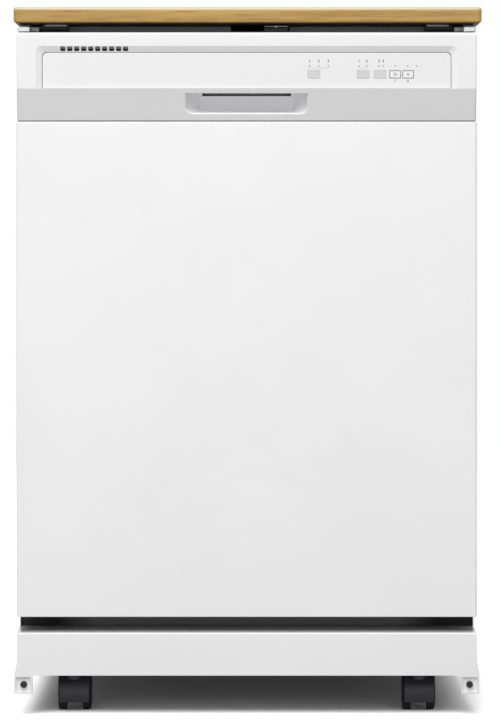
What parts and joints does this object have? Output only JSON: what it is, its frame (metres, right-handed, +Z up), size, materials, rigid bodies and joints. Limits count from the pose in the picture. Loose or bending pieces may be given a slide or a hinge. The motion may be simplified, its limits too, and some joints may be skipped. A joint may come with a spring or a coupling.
{
  "type": "portable dishwasher on wheels",
  "caption": "Front-loading portable dishwasher with a wood-grain worktop, drop-down door, sliding racks and swivel casters.",
  "frame": {"origin": "centre of the footprint, on the floor under the casters", "axes": "+Z up, -Y towards the door's face, +X to the right as seen from the front"},
  "size_m": [0.622, 0.68, 0.94],
  "materials": {
    "wood": "satin laminate",
    "white_enamel": "gloss enamel",
    "white_plastic": "semi-gloss moulding",
    "grey_plastic": "satin",
    "tub_plastic": "satin",
    "black_plastic": "satin",
    "black_paint": "satin",
    "rubber": "matte",
    "zinc": "zinc plated",
    "stainless": "satin",
    "coated_wire": "nylon coating",
    "cast_iron": "rough",
    "board": "circuit board"
  },
  "bodies": {
    "cabinet": {"countertop": "wood", "top_front_rail": "black_paint", "door_strike": "zinc", "side_panel_left": "white_enamel", "side_panel_right": "white_enamel", "rear_panel": "white_enamel", "hose_storage_box": "grey_plastic", "hose_gland": "rubber", "cord_gland": "rubber", "base_frame": "black_paint", "toe_panel": "white_enamel", "toe_screw_left": "black_plastic", "toe_screw_right": "black_plastic", "tub": "tub_plastic", "door_seal": "rubber", "sump": "black_plastic", "filter_plate": "grey_plastic", "heating_element": "stainless", "wash_motor": "black_plastic", "drain_pump": "black_plastic", "hinge_crossmember": "black_paint", "door_spring_left": "zinc", "door_spring_right": "zinc", "counterweight": "cast_iron", "water_feed_tube": "grey_plastic"},
    "door": {"door_outer_panel": "white_enamel", "door_liner": "tub_plastic", "hinge_arm_left": "zinc", "hinge_arm_right": "zinc", "console": "white_plastic", "control_board": "board", "latch_body": "black_plastic", "dispenser_housing": "grey_plastic"},
    "latch_handle": {"latch_handle": "black_plastic"},
    "cycle_button": {"cycle_button": "grey_plastic"},
    "option_button": {"option_button": "grey_plastic"},
    "delay_button": {"delay_button": "grey_plastic"},
    "start_button": {"start_button": "grey_plastic"},
    "cancel_button": {"cancel_button": "grey_plastic"},
    "dispenser_lid": {"dispenser_lid": "white_plastic"},
    "rinse_aid_cap": {"rinse_aid_cap": "black_plastic"},
    "upper_rack": {"upper_rack": "coated_wire"},
    "upper_rail_left": {"upper_rail_left": "stainless"},
    "upper_rail_right": {"upper_rail_right": "stainless"},
    "upper_spray_arm": {"upper_spray_arm": "grey_plastic"},
    "lower_rack": {"lower_rack": "coated_wire"},
    "lower_wheels_front": {"lower_wheels_front": "grey_plastic"},
    "lower_wheels_rear": {"lower_wheels_rear": "grey_plastic"},
    "silverware_basket": {"silverware_basket": "grey_plastic"},
    "lower_spray_arm": {"lower_spray_arm": "grey_plastic"},
    "filter_cup": {"filter_cup": "grey_plastic"},
    "float_dome": {"float_dome": "grey_plastic"},
    "caster_fork_front_left": {"caster_fork_front_left": "black_plastic"},
    "caster_fork_front_right": {"caster_fork_front_right": "black_plastic"},
    "caster_fork_rear_left": {"caster_fork_rear_left": "black_plastic"},
    "caster_fork_rear_right": {"caster_fork_rear_right": "black_plastic"},
    "caster_wheels_front_left": {"caster_wheels_front_left": "rubber"},
    "caster_wheels_front_right": {"caster_wheels_front_right": "rubber"},
    "caster_wheels_rear_left": {"caster_wheels_rear_left": "rubber"},
    "caster_wheels_rear_right": {"caster_wheels_rear_right": "rubber"}
  },
  "joints": [
    {"name": "door_hinge", "type": "hinge", "parent": "cabinet", "child": "door", "pos_m": [0, -0.285, 0.15], "axis": [1, 0, 0], "range_deg": [0, 90]},
    {"name": "latch_pull", "type": "hinge", "parent": "door", "child": "latch_handle", "pos_m": [0, -0.3, 0.844], "axis": [1, 0, 0], "range_deg": [0, 12], "stiffness_Nm_per_rad": 0.5, "springref_deg": -2.86},
    {"name": "cycle_press", "type": "slide", "parent": "door", "child": "cycle_button", "axis": [0, 1, 0], "range_m": [0, 0.001], "stiffness_N_per_m": 1500, "springref_m": -0.0006},
    {"name": "option_press", "type": "slide", "parent": "door", "child": "option_button", "axis": [0, 1, 0], "range_m": [0, 0.001], "stiffness_N_per_m": 1500, "springref_m": -0.0006},
    {"name": "delay_press", "type": "slide", "parent": "door", "child": "delay_button", "axis": [0, 1, 0], "range_m": [0, 0.001], "stiffness_N_per_m": 1500, "springref_m": -0.0006},
    {"name": "start_press", "type": "slide", "parent": "door", "child": "start_button", "axis": [0, 1, 0], "range_m": [0, 0.001], "stiffness_N_per_m": 1500, "springref_m": -0.0006},
    {"name": "cancel_press", "type": "slide", "parent": "door", "child": "cancel_button", "axis": [0, 1, 0], "range_m": [0, 0.001], "stiffness_N_per_m": 1500, "springref_m": -0.0006},
    {"name": "dispenser_lid_hinge", "type": "hinge", "parent": "door", "child": "dispenser_lid", "pos_m": [-0.0455, -0.2552, 0.387], "axis": [-1, 0, 0], "range_deg": [0, 95]},
    {"name": "rinse_aid_turn", "type": "hinge", "parent": "door", "child": "rinse_aid_cap", "pos_m": [0.042, -0.256, 0.432], "axis": [0, 1, 0], "range_deg": [0, 90]},
    {"name": "upper_rack_slide", "type": "slide", "parent": "cabinet", "child": "upper_rack", "axis": [0, -1, 0], "range_m": [0, 0.43]},
    {"name": "upper_rail_left_slide", "type": "slide", "parent": "cabinet", "child": "upper_rail_left", "axis": [0, -1, 0], "range_m": [0, 0.215]},
    {"name": "upper_rail_right_slide", "type": "slide", "parent": "cabinet", "child": "upper_rail_right", "axis": [0, -1, 0], "range_m": [0, 0.215]},
    {"name": "upper_arm_spin", "type": "hinge", "parent": "upper_rack", "child": "upper_spray_arm", "pos_m": [0, -0.008, 0.506], "axis": [0, 0, 1], "continuous": true},
    {"name": "lower_rack_slide", "type": "slide", "parent": "cabinet", "child": "lower_rack", "axis": [0, -1, 0], "range_m": [0, 0.17]},
    {"name": "lower_wheels_front_roll", "type": "hinge", "parent": "lower_rack", "child": "lower_wheels_front", "pos_m": [0, -0.175, 0.2083], "axis": [1, 0, 0], "range_deg": [0, 490]},
    {"name": "lower_wheels_rear_roll", "type": "hinge", "parent": "lower_rack", "child": "lower_wheels_rear", "pos_m": [0, 0.18, 0.2083], "axis": [1, 0, 0], "range_deg": [0, 490]},
    {"name": "silverware_basket_lift", "type": "slide", "parent": "lower_rack", "child": "silverware_basket", "axis": [0, 0, 1], "range_m": [0, 0.1]},
    {"name": "lower_arm_spin", "type": "hinge", "parent": "cabinet", "child": "lower_spray_arm", "pos_m": [0, -0.008, 0.198], "axis": [0, 0, 1], "continuous": true},
    {"name": "filter_cup_turn", "type": "hinge", "parent": "cabinet", "child": "filter_cup", "pos_m": [0.048, 0.028, 0.18], "axis": [0, 0, 1], "range_deg": [0, 90]},
    {"name": "float_rise", "type": "slide", "parent": "cabinet", "child": "float_dome", "axis": [0, 0, 1], "range_m": [0, 0.006]},
    {"name": "swivel_front_left", "type": "hinge", "parent": "cabinet", "child": "caster_fork_front_left", "pos_m": [-0.231, -0.262, 0.05], "axis": [0, 0, 1], "continuous": true},
    {"name": "swivel_front_right", "type": "hinge", "parent": "cabinet", "child": "caster_fork_front_right", "pos_m": [0.231, -0.262, 0.05], "axis": [0, 0, 1], "continuous": true},
    {"name": "swivel_rear_left", "type": "hinge", "parent": "cabinet", "child": "caster_fork_rear_left", "pos_m": [-0.231, 0.262, 0.05], "axis": [0, 0, 1], "continuous": true},
    {"name": "swivel_rear_right", "type": "hinge", "parent": "cabinet", "child": "caster_fork_rear_right", "pos_m": [0.231, 0.262, 0.05], "axis": [0, 0, 1], "continuous": true},
    {"name": "roll_front_left", "type": "hinge", "parent": "caster_fork_front_left", "child": "caster_wheels_front_left", "pos_m": [-0.231, -0.244, 0.025], "axis": [1, 0, 0], "continuous": true},
    {"name": "roll_front_right", "type": "hinge", "parent": "caster_fork_front_right", "child": "caster_wheels_front_right", "pos_m": [0.231, -0.244, 0.025], "axis": [1, 0, 0], "continuous": true},
    {"name": "roll_rear_left", "type": "hinge", "parent": "caster_fork_rear_left", "child": "caster_wheels_rear_left", "pos_m": [-0.231, 0.28, 0.025], "axis": [1, 0, 0], "continuous": true},
    {"name": "roll_rear_right", "type": "hinge", "parent": "caster_fork_rear_right", "child": "caster_wheels_rear_right", "pos_m": [0.231, 0.28, 0.025], "axis": [1, 0, 0], "continuous": true}
  ],
  "couplings": [
    {"joint": "upper_rack_slide", "follows": "door_hinge", "m_per_rad": 0.2737},
    {"joint": "upper_rail_left_slide", "follows": "door_hinge", "m_per_rad": 0.13685},
    {"joint": "upper_rail_right_slide", "follows": "door_hinge", "m_per_rad": 0.13685},
    {"joint": "lower_rack_slide", "follows": "door_hinge", "m_per_rad": 0.1082},
    {"joint": "lower_wheels_front_roll", "follows": "door_hinge", "ratio": 5.41},
    {"joint": "lower_wheels_rear_roll", "follows": "door_hinge", "ratio": 5.41}
  ]
}
